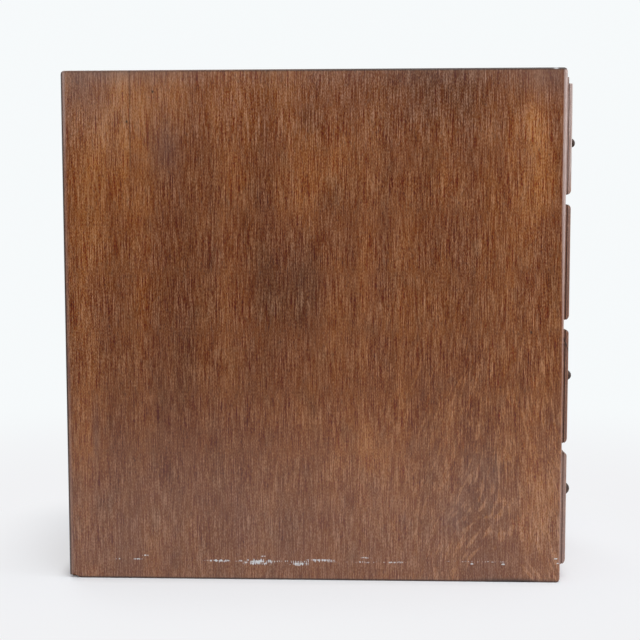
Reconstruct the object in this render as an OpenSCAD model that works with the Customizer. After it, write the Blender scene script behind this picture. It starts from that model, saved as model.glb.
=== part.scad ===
// Desktop file cabinet: a slim oak case that holds a stack of four lipped, dovetailed drawers for cards.
// The origin is the middle of the case's footprint, +Z is up and the drawers open towards -Y.

/* [Case] */
// Height of the case
case_h = 457; // [440:1:480]
// Depth of the case from its front edge to its rear edge
case_d = 445; // [400:1:480]
// Width over the two sides
case_w = 186; // [178:1:200]
// Thickness of the sides
side_t = 13; // [11:0.5:16]
// Thickness of the top board
top_t = 13; // [11:0.5:16]
// Thickness of the bottom board
bottom_t = 20.5; // [17:0.5:24]
// Depth of the rabbets and housings cut into the sides
housing = 6; // [4:0.5:8]
// Worn radius along the front arris of each side
front_arris = 3; // [1:0.25:4.5]
// Worn radius along the other arrises of each side
arris = 2; // [0.5:0.25:4]
// Worn radius of the corners seen from the side
corner_r = 4.5; // [1:0.25:5]
// Length of the chip broken out of the left side's rear foot
chip_l = 10.5; // [6:0.5:14]
// Height of that chip
chip_h = 3.8; // [2.5:0.1:6]
// Width of the stub that stands at the rear of the chip
chip_stub = 3; // [2:0.25:4]

/* [Rails and runners] */
// Height of the rails between the drawers
rail_h = 19.5; // [17:0.5:24]
// Depth of the rails from front to back
rail_d = 45; // [30:1:70]
// Width of the runners that carry the drawer sides
runner_w = 14; // [11:0.5:18]
// Length of the runner screws
runner_screw_l = 22; // [17:0.5:24]
// Distance from a runner's end to its first screw
runner_screw_in = 40; // [20:1:80]

/* [Back] */
// Thickness of the back panel
back_t = 6; // [4:0.5:9]
// Depth of the back panel's face inside the rear edges
back_in = 2.5; // [2:0.5:6]
// Height of the rabbets for the back panel in the top and bottom boards
back_lap = 7; // [5:0.5:9]
// Shank diameter of the back panel's nails
nail_d = 1.6; // [1.2:0.1:2]
// Head diameter of the nails
nail_head_d = 4.4; // [3.5:0.1:5]
// Head thickness of the nails
nail_head_t = 0.9; // [0.6:0.1:1.5]
// Length of the nails under the head
nail_l = 20; // [12:1:26]
// Number of nails up each side of the back
side_nails = 6; // [3:1:9]

/* [Drawers] */
// Overall thickness of a drawer front
front_t = 19; // [17:0.5:24]
// Thickness of the lip that stands proud of the case
lip_t = 5.5; // [4:0.5:7]
// Overlap of the lip on the case
lip_over = 5.5; // [4:0.25:7]
// Thickness left at the outer edge of the lip
lip_edge = 1.6; // [0.8:0.2:2.5]
// Width of the rounded moulding along the lip
thumb_w = 5; // [4:0.5:9]
// Width of the groove between the lip's edge and its moulding
quirk = 0.8; // [0.4:0.1:1]
// Height of the moulding split off the first drawer's upper lip
split_h = 5.5; // [3:0.5:7]
// Length of that split from the left end of the lip
split_l = 48; // [20:1:80]
// Distance from the top of the third drawer's lip to a crack in its left end
crack_drop = 12.5; // [8:0.5:30]
// Run of that crack down the lip
crack_run = 5.5; // [3:0.5:10]
// Width of the crack
crack_w = 0.5; // [0.3:0.1:0.8]
// Depth of the crack from the lip's end
crack_in = 4.5; // [2:0.5:5]
// Thickness of the drawer sides
box_side_t = 10; // [9:0.5:12]
// Thickness of the drawer back
box_back_t = 10; // [8:0.5:14]
// Distance of the drawer back from the rear ends of the sides
box_back_in = 8; // [5:0.5:20]
// Drop of the drawer back below the tops of the sides
box_back_drop = 9; // [3:0.5:20]
// Thickness of the drawer bottom
box_floor_t = 4; // [3:0.5:6]
// Height of the drawer bottom above the lower edges of the sides
floor_lift = 6; // [5:0.5:9]
// Depth of the grooves and housings inside the drawer
groove = 5; // [3:0.5:6]
// Rounding along the top edges of the drawer sides
side_round = 2.5; // [1:0.25:4]
// Number of dovetails at each front corner
tails = 4; // [3:1:5]
// Length of the dovetails
tail_l = 9.5; // [7:0.5:11]
// Width of a dovetail at its wide end
tail_w = 15; // [12:0.5:16]
// Run of a dovetail's flare for each unit of spread
tail_slope = 6; // [5:0.5:8]

/* [Pulls] */
// Reach of the cup in front of the drawer face
cup_out = 17.5; // [16:0.1:21]
// Width of the cup
cup_w = 60; // [50:1:66]
// Wall thickness of the cup
cup_t = 1.6; // [1.2:0.1:2]
// Radius of the cup's rounded belly
belly_r = 4.5; // [4:0.25:8]
// Height of the belly's middle above the cup's rim
belly_up = 3; // [2:0.25:4]
// Slope of the cup's shoulder in degrees
shoulder = 15; // [8:1:20]
// Amount by which the second drawer's cup is pressed in
cup_dent = 3; // [0:0.5:5]
// Width of the flange around the cup
flange_w = 4.5; // [3:0.5:6]
// Rounding of the flange's lower corners
flange_round = 7; // [3:0.5:9]
// Thickness of the flat plate
plate_t = 1.8; // [1.4:0.1:2.4]
// Width of the window for a title card
window_w = 56; // [45:1:60]
// Height of the window
window_h = 15; // [12:0.5:17]
// Width of the bars at the ends of the window
end_bar = 7; // [6:0.5:9]
// Height of the bar under the window
low_bar = 7; // [5:0.5:9]
// Height of the bar over the window
top_bar = 3.5; // [2.5:0.25:5]
// Thickness of the slot behind the bars that takes the title card
card_slot = 0.8; // [0.5:0.1:1]
// Distance of the cup's rim below the middle of the drawer front
rim_drop = 3; // [0:0.5:8]
// Shank diameter of the pull screws
pull_screw_d = 2.4; // [2:0.1:2.8]
// Head diameter of the pull screws
pull_head_d = 4.6; // [4:0.1:5]
// Length of the pull screws under the head
pull_screw_l = 12; // [8:0.5:15]

/* [Followers] */
// Width of the track's flange
track_w = 20; // [14:0.5:26]
// Thickness of the track's flange
track_t = 1.5; // [1.2:0.1:2]
// Width of the web under the flange
web_w = 8; // [6:0.5:10]
// Height of the web
web_h = 2.8; // [2.6:0.1:4]
// Thickness of the follower's sheet steel
sheet_t = 1.5; // [1.2:0.1:1.8]
// Length of the follower's shoe
shoe_l = 55; // [40:1:80]
// Height of the follower plate
plate_h = 66; // [50:1:70]
// Backward lean of the follower plate in degrees
plate_lean = 10; // [5:1:15]
// Rounding of the follower plate's upper corners
plate_round = 14; // [6:1:20]
// Height of the braces behind the follower plate
brace_h = 44; // [25:1:46]

/* [Fits] */
// Gap between a drawer and its runners
run_gap = 0.3; // [0.3:0.1:0.8]
// Gap above a drawer box
top_gap = 2; // [1:0.25:4]
// Gap at each side of a drawer box
side_gap = 1; // [0.5:0.1:2]
// Gap between a closed drawer's lip and the case
lip_gap = 0.7; // [0.3:0.1:1]
// Gap between the drawer box and the back panel
rear_gap = 6; // [3:1:15]
// Clearance in glued joints and around fasteners
snug = 0.1; // [0.05:0.05:0.2]
// Clearance of the follower on its track
slide_gap = 0.4; // [0.3:0.1:0.6]

/* [Hidden] */
$fn = 64;
drawers = 4;
dented_drawer = 2;
split_drawer = 1;
cracked_drawer = 3;
over = 1;

// Case
inner_w = case_w - 2 * side_t;
housed_w = inner_w + 2 * housing;
opening_h = (case_h - top_t - bottom_t - (drawers - 1) * rail_h) / drawers;
front_y = -case_d / 2;
rear_y = case_d / 2;
panel_y = rear_y - back_in - back_t;

// Drawer, measured from the case's front edge and from the lower edge of the drawer box
box_w = inner_w - 2 * side_gap;
box_h = opening_h - run_gap - top_gap;
box_in_w = box_w - 2 * box_side_t;
face_y = -lip_gap - lip_t;
inner_y = face_y + front_t;
box_end = case_d - back_in - back_t - rear_gap;
back_inner_y = box_end - box_back_in - box_back_t;
floor_top = floor_lift + box_floor_t;
front_h = opening_h + 2 * lip_over;
front_w = inner_w + 2 * lip_over;
front_mid = opening_h / 2 - run_gap;
tail_root = tail_w - 2 * tail_l / tail_slope;

// Pull
plate_w = cup_w + 2 * flange_w;
hood_top = belly_up + belly_r / cos(shoulder) + (cup_out - belly_r) * tan(shoulder);
window_v = hood_top + low_bar;
frame_w = window_w + 2 * end_bar;
frame_top = window_v + window_h + top_bar;
card_lap = 2;
pull_screw_u = (window_w / 2 + card_lap + frame_w / 2) / 2;
pull_screw_in = 1.5;
pull_head_h = 1.5;
screw_slot = 0.7;
frame_round = 3;

// Follower and track
track_screw_d = 2.4;
track_head_d = 4.8;
track_end = 4;
track_screw_in = 16;
track_screws = 3;
track_top = floor_top + web_h + track_t;
shoe_top = track_top + slide_gap + sheet_t;
shoe_low = floor_top + slide_gap;
shoe_w = track_w + 2 * slide_gap + 2 * sheet_t;
follower_y = back_inner_y - track_end - slide_gap - shoe_l;
follower_side_gap = 2;
brace_x = shoe_w / 2 - sheet_t;

// Fasteners
runner_screw_d = 3.4;
runner_head_d = 6.8;
runner_screws = 3;

oak = "#7a5036";
pale_wood = "#c09a68";
ply = "#a98253";
bronze = "#4a3b2e";
steel = "#8d8f90";
iron = "#4d4a47";

function opening_z(n) = bottom_t + (drawers - n) * (opening_h + rail_h);
function rail_z(n) = opening_z(n) - rail_h;
function spaced(first, last, count) = [for (k = [0 : count - 1]) first + k * (last - first) / (count - 1)];
function cup_reach(n) = n == dented_drawer ? cup_out - cup_dent : cup_out;
function arc_r(half_chord, rise) = (half_chord * half_chord + rise * rise) / (2 * rise);
function cup_plan_r(reach) = arc_r(cup_w / 2, reach);
function cup_hub(reach) = cup_plan_r(reach) - reach;

drawer_parts = ["front", "side_left", "side_right", "back", "bottom", "pull", "pull_screws", "track",
    "track_screws", "follower"];

// Waste in the corner of a rectangle that leaves a quarter round
module corner_waste(r) {
    difference() {
        translate([-over, -over]) square(r + over);
        translate([r, r]) circle(r);
    }
}

// A rectangle from the origin; radii go round from the corner at the origin, anticlockwise
module rounded(size, radii) {
    corners = [[0, 0], [size[0], 0], size, [0, size[1]]];
    difference() {
        square(size);
        for (k = [0 : 3]) {
            if (radii[k] > 0) translate(corners[k]) rotate(90 * k) corner_waste(radii[k]);
        }
    }
}

// Stands a drawing of the side view up: its x runs along Y, its y along Z, and it is swept along X
module sweep_x(from, to) {
    translate([from, 0, 0]) rotate([90, 0, 90]) linear_extrude(to - from) children();
}

// Stands a drawing of the front view up: its x runs along X, its y along Z, and it is swept along Y
module sweep_y(from, to) {
    translate([0, to, 0]) rotate([90, 0, 0]) linear_extrude(to - from) children();
}

// A box between two opposite corners
module block(a, b) {
    translate(a) cube(b - a);
}

// Both hands of a piece drawn on the -X side
module both_hands() {
    children();
    mirror([1, 0, 0]) children();
}

// Countersunk screw that points along +Z, its flat head at z = 0
module countersunk(head_d, shank_d, length) {
    cylinder(h = (head_d - shank_d) / 2, d1 = head_d, d2 = shank_d);
    cylinder(h = length, d = shank_d);
}

// The nails of the back panel, each along -Y from the panel's outer face
module at_back_nails() {
    nail_x = inner_w / 2 + housing / 2;
    low_z = bottom_t - back_lap / 2;
    high_z = case_h - top_t + back_lap / 2;
    for (x = [-nail_x, nail_x]) {
        for (z = spaced(bottom_t + back_lap, case_h - top_t - back_lap, side_nails)) {
            translate([x, rear_y - back_in, z]) rotate([90, 0, 0]) children();
        }
    }
    for (x = [-inner_w / 4, inner_w / 4]) {
        for (z = [low_z, high_z]) translate([x, rear_y - back_in, z]) rotate([90, 0, 0]) children();
    }
}

module back_nail_holes() {
    at_back_nails() translate([0, 0, -over]) cylinder(h = nail_l + over + snug, d = nail_d + 2 * snug);
}

// The screws of the runners on one side, each from the runner's inner face towards -X
module at_runner_screws(n) {
    first = front_y + rail_d + runner_screw_in;
    for (y = spaced(first, panel_y - runner_screw_in, runner_screws)) {
        translate([-inner_w / 2 + runner_w, y, rail_z(n) + rail_h / 2]) rotate([0, -90, 0]) children();
    }
}

module runner_screw_holes() {
    for (n = [1 : drawers - 1]) at_runner_screws(n) {
        countersunk(runner_head_d + 2 * snug, runner_screw_d + 2 * snug, runner_screw_l + snug);
    }
}

// Left side: arrises softened by wear, rabbets for top, bottom and back, housings for the rails
module side() {
    x0 = -case_w / 2;
    x1 = x0 + side_t;
    xh = x1 - housing;
    difference() {
        intersection() {
            translate([x0, front_y, 0]) linear_extrude(case_h) {
                rounded([side_t, case_d], [front_arris, 0, 0, arris]);
            }
            sweep_y(front_y - over, rear_y + over) translate([x0, 0]) {
                rounded([side_t, case_h], [arris / 2, 0, 0, arris]);
            }
            sweep_x(x0 - over, x1 + over) translate([front_y, 0]) {
                rounded([case_d, case_h], [corner_r, chip_h / 4, corner_r, corner_r]);
            }
        }
        block([xh, front_y - over, case_h - top_t], [x1 + over, rear_y + over, case_h + over]);
        block([xh, front_y - over, -over], [x1 + over, rear_y + over, bottom_t]);
        block([xh, panel_y, bottom_t - over], [x1 + over, rear_y + over, case_h - top_t + over]);
        for (n = [1 : drawers - 1]) {
            block([xh, front_y - over, rail_z(n)], [x1 + over, front_y + rail_d, rail_z(n) + rail_h]);
        }
        back_nail_holes();
        runner_screw_holes();
    }
}

// Waste broken out of the rear foot, seen from the side; a short stub is left at its rear
module foot_chip() {
    stub_h = chip_h - chip_stub / 3;
    sweep_x(-case_w / 2 - over, -inner_w / 2 + over) translate([rear_y, 0]) mirror([1, 0]) {
        polygon([[-over, -over], [chip_l, -over], [chip_l, 0], [1.5 * chip_stub, chip_h],
            [chip_stub, chip_h], [0.75 * chip_stub, stub_h], [0.25 * chip_stub, stub_h], [-over, chip_h]]);
    }
}

module side_left() {
    color(oak) difference() {
        side();
        foot_chip();
    }
}

module side_right() {
    color(oak) mirror([1, 0, 0]) side();
}

module top_board() {
    z0 = case_h - top_t;
    color(oak) difference() {
        sweep_x(-housed_w / 2, housed_w / 2) translate([front_y, z0]) {
            rounded([case_d, top_t], [0, 0, corner_r, corner_r]);
        }
        block([-housed_w, panel_y, z0 - over], [housed_w, rear_y + over, z0 + back_lap]);
        back_nail_holes();
    }
}

module bottom_board() {
    color(oak) difference() {
        sweep_x(-housed_w / 2, housed_w / 2) translate([front_y, 0]) {
            rounded([case_d, bottom_t], [corner_r / 2, corner_r / 2, 0, 0]);
        }
        block([-housed_w, panel_y, bottom_t - back_lap], [housed_w, rear_y + over, bottom_t + over]);
        back_nail_holes();
    }
}

module back_panel() {
    color(ply) difference() {
        block([-housed_w / 2, panel_y, bottom_t - back_lap],
            [housed_w / 2, panel_y + back_t, case_h - top_t + back_lap]);
        back_nail_holes();
    }
}

module back_nails() {
    color(iron) at_back_nails() {
        translate([0, 0, -nail_head_t]) cylinder(h = nail_head_t, d = nail_head_d);
        translate([0, 0, -nail_head_t / 2]) cylinder(h = nail_l + nail_head_t / 2, d = nail_d);
    }
}

module rail(n) {
    color(oak) block([-housed_w / 2, front_y, rail_z(n)],
        [housed_w / 2, front_y + rail_d, rail_z(n) + rail_h]);
}

// Left runner under a drawer; its underside also keeps the drawer below from tipping
module runner_left(n) {
    x0 = -inner_w / 2;
    color(pale_wood) difference() {
        block([x0, front_y + rail_d, rail_z(n)], [x0 + runner_w, panel_y, rail_z(n) + rail_h]);
        runner_screw_holes();
    }
}

module runner_right(n) {
    mirror([1, 0, 0]) runner_left(n);
}

module runner_screws() {
    color(steel) both_hands() for (n = [1 : drawers - 1]) {
        at_runner_screws(n) difference() {
            countersunk(runner_head_d, runner_screw_d, runner_screw_l);
            cube([runner_head_d + over, screw_slot, 2 * screw_slot], center = true);
        }
    }
}

// Places a drawer's pieces in its opening
module at_drawer(n) {
    translate([0, front_y, opening_z(n) + run_gap]) children();
}

// Outline of the lip across one direction, face at y = 0, a quirk and thumb moulding at both ends
module lip_outline(width) {
    rise = lip_t - lip_edge;
    r = arc_r(thumb_w, rise);
    difference() {
        translate([-width / 2, 0]) square([width, lip_t]);
        for (turn = [0, 1]) mirror([turn, 0]) translate([-width / 2, 0]) difference() {
            translate([-over, -over]) square([thumb_w + over, r + over]);
            translate([thumb_w, r]) circle(r);
        }
        for (x = [-width / 2, width / 2]) translate([x, rise]) rotate(45) square(quirk, center = true);
    }
}

// Dovetails in the side view, seen with the box's lower edge at y = 0
module tail_outlines(fit) {
    for (k = [0 : tails - 1]) {
        mid = box_h * (k + 0.5) / tails;
        root = tail_root / 2 + fit;
        tip = tail_w / 2 + fit;
        translate([inner_y, mid]) polygon([[-tail_l - fit, tip], [-tail_l - fit, -tip], [0, -root],
            [over, -root], [over, root], [0, root]]);
    }
}

// Lipped front: moulded edge, tongue inside the opening, half-blind dovetail sockets, floor groove
module drawer_front(n) {
    color(oak) at_drawer(n) difference() {
        union() {
            intersection() {
                translate([0, face_y, front_mid - front_h]) linear_extrude(2 * front_h) lip_outline(front_w);
                translate([-front_w, face_y, front_mid]) rotate([90, 0, 90]) linear_extrude(2 * front_w) {
                    rotate(-90) mirror([1, 0]) lip_outline(front_h);
                }
            }
            block([-box_w / 2, -lip_gap - lip_t / 2, 0], [box_w / 2, inner_y, box_h]);
        }
        for (x = [-box_w / 2 - over, box_w / 2 - box_side_t - snug]) {
            sweep_x(x, x + box_side_t + over + snug) tail_outlines(snug);
        }
        block([-box_in_w / 2 - groove, inner_y - groove, floor_lift],
            [box_in_w / 2 + groove, inner_y + over, floor_top + snug]);
        at_pull() at_pull_screws() pull_screw_hole();
        if (n == split_drawer) lip_split();
        if (n == cracked_drawer) lip_crack();
    }
}

// Waste where the moulding of an upper lip has split away and left its thin edge
module lip_split() {
    left = -front_w / 2 - over;
    end = -front_w / 2 + split_l;
    top = front_mid + front_h / 2;
    sweep_y(face_y - over, face_y + lip_t - lip_edge) {
        polygon([[left, top - split_h], [end, top - split_h], [end + split_h, top + over],
            [left, top + over]]);
    }
}

// Thin crack down across the left end of a lip, from its back to its face
module lip_crack() {
    left = -front_w / 2;
    high = front_mid + front_h / 2 - crack_drop;
    low = high - crack_run;
    sweep_x(left - over, left + crack_in) {
        polygon([[face_y - over, low - crack_w], [face_y + lip_t + over, high - crack_w],
            [face_y + lip_t + over, high], [face_y - over, low]]);
    }
}

// Left side of a drawer: dovetails, rounded top edge, groove for the floor and housing for the back
module drawer_side_left(n) {
    x0 = -box_w / 2;
    x1 = x0 + box_side_t;
    color(pale_wood) at_drawer(n) difference() {
        intersection() {
            union() {
                block([x0, inner_y, 0], [x1, box_end, box_h]);
                sweep_x(x0, x1) tail_outlines(0);
            }
            sweep_y(face_y, box_end + over) translate([x0, 0]) {
                rounded([box_side_t, box_h], [0, 0, side_round, side_round]);
            }
        }
        block([x1 - groove, face_y, floor_lift], [x1 + over, box_end + over, floor_top + snug]);
        block([x1 - groove, back_inner_y, floor_top - over],
            [x1 + over, back_inner_y + box_back_t, box_h + over]);
    }
}

module drawer_side_right(n) {
    mirror([1, 0, 0]) drawer_side_left(n);
}

module drawer_back(n) {
    half = box_in_w / 2 + groove;
    color(pale_wood) at_drawer(n) block([-half, back_inner_y, floor_top + snug],
        [half, back_inner_y + box_back_t, box_h - box_back_drop]);
}

module drawer_bottom(n) {
    half = box_in_w / 2 + groove - snug;
    color(ply) at_drawer(n) difference() {
        block([-half, inner_y - groove + snug, floor_lift], [half, box_end, floor_top]);
        at_track_screws() translate([0, 0, -over]) {
            cylinder(h = box_floor_t + 2 * over, d = track_screw_d + 2 * snug);
        }
    }
}

// Turns a drawing of the pull to the drawer face: x across, y up from the cup's rim, z out of the face
module at_pull() {
    translate([0, face_y, front_mid - rim_drop]) rotate([90, 0, 0]) children();
}

module at_pull_screws() {
    low_v = window_v + pull_screw_in;
    high_v = window_v + window_h - pull_screw_in;
    for (u = [-pull_screw_u, pull_screw_u]) {
        for (v = [low_v, high_v]) translate([u, v, 0]) children();
    }
}

module pull_screw_hole() {
    translate([0, 0, -pull_screw_l - snug]) {
        cylinder(h = pull_screw_l + plate_t + over, d = pull_screw_d + 2 * snug);
    }
}

// Section of the cup from its upright axis outwards, drawn inset by a wall and open below the rim
module cup_section(plan_r, inset, below) {
    mid = plan_r - belly_r;
    ball = belly_r - inset;
    neck = mid + ball * sin(shoulder);
    neck_v = belly_up + ball * cos(shoulder);
    intersection() {
        union() {
            translate([mid, belly_up]) circle(ball);
            polygon([[0, -below], [neck, -below], [neck, neck_v], [0, neck_v + neck * tan(shoulder)]]);
        }
        translate([0, -below]) square([plan_r, 2 * plan_r]);
    }
}

// The cup's form turned about its upright axis behind the drawer face
module cup_form(reach, inset, below) {
    plan_r = cup_plan_r(reach);
    translate([0, 0, -cup_hub(reach)]) rotate([-90, 0, 0]) rotate_extrude() cup_section(plan_r, inset, below);
}

// One-piece pull: a window frame for a title card above a finger cup that opens downwards
module drawer_pull(n) {
    reach = cup_reach(n);
    color(bronze) at_drawer(n) at_pull() difference() {
        union() {
            linear_extrude(plate_t) difference() {
                union() {
                    translate([-plate_w / 2, 0]) {
                        rounded([plate_w, window_v], [flange_round, flange_round, 0, 0]);
                    }
                    translate([-frame_w / 2, hood_top]) {
                        rounded([frame_w, frame_top - hood_top], [0, 0, frame_round, frame_round]);
                    }
                }
                translate([-window_w / 2, window_v]) square([window_w, window_h]);
            }
            intersection() {
                cup_form(reach, 0, 0);
                block([-cup_w, 0, plate_t / 2], [cup_w, frame_top, 2 * reach]);
            }
        }
        cup_form(reach, cup_t, over);
        block([-window_w / 2 - card_lap, window_v - card_lap, -over],
            [window_w / 2 + card_lap, frame_top + over, card_slot]);
        at_pull_screws() pull_screw_hole();
    }
}

module drawer_pull_screws(n) {
    dome = arc_r(pull_head_d / 2, pull_head_h);
    color(iron) at_drawer(n) at_pull() at_pull_screws() translate([0, 0, plate_t]) difference() {
        union() {
            intersection() {
                translate([0, 0, pull_head_h - dome]) sphere(dome);
                cylinder(h = pull_head_h + over, d = pull_head_d + over);
            }
            translate([0, 0, -pull_screw_l - plate_t]) {
                cylinder(h = pull_screw_l + plate_t + pull_head_h / 2, d = pull_screw_d);
            }
        }
        translate([0, 0, pull_head_h]) cube([pull_head_d + over, screw_slot, 2 * screw_slot], center = true);
    }
}

module at_track_screws() {
    first = inner_y + track_screw_in;
    for (y = spaced(first, back_inner_y - track_screw_in, track_screws)) {
        translate([0, y, floor_lift]) children();
    }
}

// T-shaped steel track along the drawer floor
module drawer_track(n) {
    color(steel) at_drawer(n) difference() {
        sweep_y(inner_y + track_end, back_inner_y - track_end) {
            translate([-web_w / 2, floor_top]) square([web_w, web_h + track_t / 2]);
            translate([-track_w / 2, floor_top + web_h]) square([track_w, track_t]);
        }
        at_track_screws() translate([0, 0, track_top - floor_lift]) rotate([180, 0, 0]) {
            translate([0, 0, -snug]) {
                countersunk(track_head_d + 4 * snug, track_screw_d + 2 * snug, track_top);
            }
        }
    }
}

module drawer_track_screws(n) {
    length = track_top - floor_lift - snug;
    color(steel) at_drawer(n) at_track_screws() translate([0, 0, track_top - floor_lift]) difference() {
        rotate([180, 0, 0]) countersunk(track_head_d, track_screw_d, length);
        cube([track_head_d + over, screw_slot, screw_slot], center = true);
    }
}

// Pressed-steel follower: a shoe folded round the track, a leaning plate and two braces behind it
module drawer_follower(n) {
    follower_w = box_in_w - 2 * follower_side_gap;
    color(steel) at_drawer(n) translate([0, follower_y, 0]) {
        sweep_y(0, shoe_l) difference() {
            translate([-shoe_w / 2, shoe_low]) square([shoe_w, shoe_top - shoe_low]);
            translate([-track_w / 2 - slide_gap, shoe_low + sheet_t]) {
                square([track_w + 2 * slide_gap, shoe_top - shoe_low - 2 * sheet_t]);
            }
            translate([-web_w / 2 - slide_gap, shoe_low - over]) {
                square([web_w + 2 * slide_gap, sheet_t + 2 * over]);
            }
        }
        translate([0, 0, shoe_top - sheet_t / 2]) rotate([-plate_lean, 0, 0]) sweep_y(0, sheet_t) {
            translate([-follower_w / 2, 0]) rounded([follower_w, plate_h], [0, 0, plate_round, plate_round]);
        }
        for (x = [-brace_x, brace_x - sheet_t]) sweep_x(x, x + sheet_t) {
            translate([0, shoe_top - sheet_t / 2]) polygon([[sheet_t / 2, 0], [shoe_l, 0],
                [brace_h * tan(plate_lean) + sheet_t, brace_h]]);
        }
    }
}

side_left();
side_right();
top_board();
bottom_board();
back_panel();
back_nails();
runner_screws();
for (n = [1 : drawers - 1]) {
    rail(n);
    runner_left(n);
    runner_right(n);
}
for (n = [1 : drawers]) {
    drawer_front(n);
    drawer_side_left(n);
    drawer_side_right(n);
    drawer_back(n);
    drawer_bottom(n);
    drawer_pull(n);
    drawer_pull_screws(n);
    drawer_track(n);
    drawer_track_screws(n);
    drawer_follower(n);
}
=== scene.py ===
import math
import random

import bmesh
import bpy
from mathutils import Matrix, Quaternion, Vector


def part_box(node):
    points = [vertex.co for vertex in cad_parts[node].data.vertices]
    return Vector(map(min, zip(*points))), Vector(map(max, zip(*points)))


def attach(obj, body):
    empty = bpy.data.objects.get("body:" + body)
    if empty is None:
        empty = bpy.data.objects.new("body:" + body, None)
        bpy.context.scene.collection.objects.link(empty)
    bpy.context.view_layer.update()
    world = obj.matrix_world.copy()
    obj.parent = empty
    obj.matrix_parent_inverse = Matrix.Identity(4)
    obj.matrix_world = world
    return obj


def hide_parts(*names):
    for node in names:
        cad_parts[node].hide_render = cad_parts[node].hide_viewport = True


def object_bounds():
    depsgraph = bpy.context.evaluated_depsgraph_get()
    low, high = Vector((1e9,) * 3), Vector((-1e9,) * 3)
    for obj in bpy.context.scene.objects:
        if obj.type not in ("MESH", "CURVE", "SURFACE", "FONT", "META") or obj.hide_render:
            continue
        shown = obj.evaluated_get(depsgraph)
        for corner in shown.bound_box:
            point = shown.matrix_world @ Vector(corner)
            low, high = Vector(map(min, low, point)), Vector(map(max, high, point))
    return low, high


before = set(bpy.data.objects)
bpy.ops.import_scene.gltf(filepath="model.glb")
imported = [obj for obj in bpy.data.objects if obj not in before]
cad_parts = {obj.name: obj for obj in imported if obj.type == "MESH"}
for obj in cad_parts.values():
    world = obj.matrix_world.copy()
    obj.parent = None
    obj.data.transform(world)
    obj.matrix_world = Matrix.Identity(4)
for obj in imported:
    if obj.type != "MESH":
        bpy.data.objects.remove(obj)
cad_low, cad_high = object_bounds()


# Left side of the case: a wide board of quarter-sawn oak, grain upright, its arrises worn round.
# The stain and varnish are old: dull, blotched by handling, and scuffed where it stood on the floor.
# Over them lie painted highlights on the arrises, painted sheen, and painted shade along the foot.

class Wire:
    """A socket in a material's tree. Arithmetic on it adds Math nodes, and node() adds any other node."""

    def __init__(self, tree, socket=None):
        self.tree = tree
        self.socket = socket

    def node(self, kind, settings, sockets, out=0):
        made = self.tree.nodes.new(kind)
        for name, value in settings.items():
            if name == "stops":
                elements = made.color_ramp.elements
                elements.remove(elements[1])
                for k, (place, tint) in enumerate(value):
                    stop = elements.new(place) if k else elements[0]
                    stop.position = place
                    stop.color = tint
            else:
                setattr(made, name, value)
        for key, value in sockets.items():
            if isinstance(value, Wire):
                self.tree.links.new(value.socket, made.inputs[key])
            else:
                made.inputs[key].default_value = value
        return Wire(self.tree, made.outputs[out])

    def math(self, operation, first, second):
        return self.node("ShaderNodeMath", {"operation": operation}, {0: first, 1: second})

    def __add__(self, other):
        return self.math("ADD", self, other)

    def __radd__(self, other):
        return self.math("ADD", other, self)

    def __sub__(self, other):
        return self.math("SUBTRACT", self, other)

    def __rsub__(self, other):
        return self.math("SUBTRACT", other, self)

    def __mul__(self, other):
        return self.math("MULTIPLY", self, other)

    def __rmul__(self, other):
        return self.math("MULTIPLY", other, self)

    def vector(self, operation, other):
        """Vector arithmetic with another vector."""
        return self.node("ShaderNodeVectorMath", {"operation": operation}, {0: self, 1: other})

    def axis(self, name):
        """One component of this vector."""
        return self.node("ShaderNodeSeparateXYZ", {}, {0: self}, name)

    def noise(self, size, detail=2.0):
        """Cloudy noise over this vector, with clouds about as large as size, in metres."""
        cells = self.vector("DIVIDE", size)
        return self.node("ShaderNodeTexNoise", {}, {"Vector": cells, "Scale": 1.0, "Detail": detail})

    def rise(self, low, high):
        """A soft step from 0 at low to 1 at high; a fall where low is the larger."""
        step = {"Value": self, "From Min": low, "From Max": high}
        return self.node("ShaderNodeMapRange", {"interpolation_type": "SMOOTHSTEP"}, step)

    def band(self, middle, core, end):
        """1 within core of the middle on either side, 0 past end."""
        return self.rise(middle - end, middle - core) * self.rise(middle + end, middle + core)

    def patch(self, middle, reach):
        """1 at the middle of an upright oval on a side of the case, 0 past its reach."""
        oval = self.vector("SUBTRACT", (0.0, *middle)).vector("DIVIDE", (1.0, *reach))
        far = self.node("ShaderNodeVectorMath", {"operation": "LENGTH"}, {0: oval}, "Value")
        return far.rise(1.0, 0.0)

    def mix(self, first, second):
        """The first colour where this value is 0, the second where it is 1."""
        return self.node("ShaderNodeMix", {"data_type": "RGBA"}, {0: self, 6: first, 7: second}, 2)

    def ramp(self, stops):
        """A colour for this value, from a list of places and colours."""
        return self.node("ShaderNodeValToRGB", {"stops": stops}, {0: self})

    def bump(self, depth):
        """A normal for a surface whose height is this value times depth, in metres."""
        return self.node("ShaderNodeBump", {}, {"Distance": depth, "Height": self})


def surface(name, paint):
    """A material whose shader takes the values and links that paint gives for its sockets."""
    material = bpy.data.materials.new(name)
    material.use_nodes = True
    tree = material.node_tree
    shader = tree.nodes["Principled BSDF"]
    for key, value in paint(Wire(tree)).items():
        if isinstance(value, Wire):
            tree.links.new(value.socket, shader.inputs[key])
        else:
            shader.inputs[key].default_value = value
    return material


def place(start):
    """The point on the piece, in metres, in the case's frame."""
    return start.node("ShaderNodeTexCoord", {}, {}, "Object")


def kept(start, name):
    """A vector that the piece's mesh holds under that name."""
    return start.node("ShaderNodeAttribute", {"attribute_name": name}, {}, "Vector")


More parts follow.
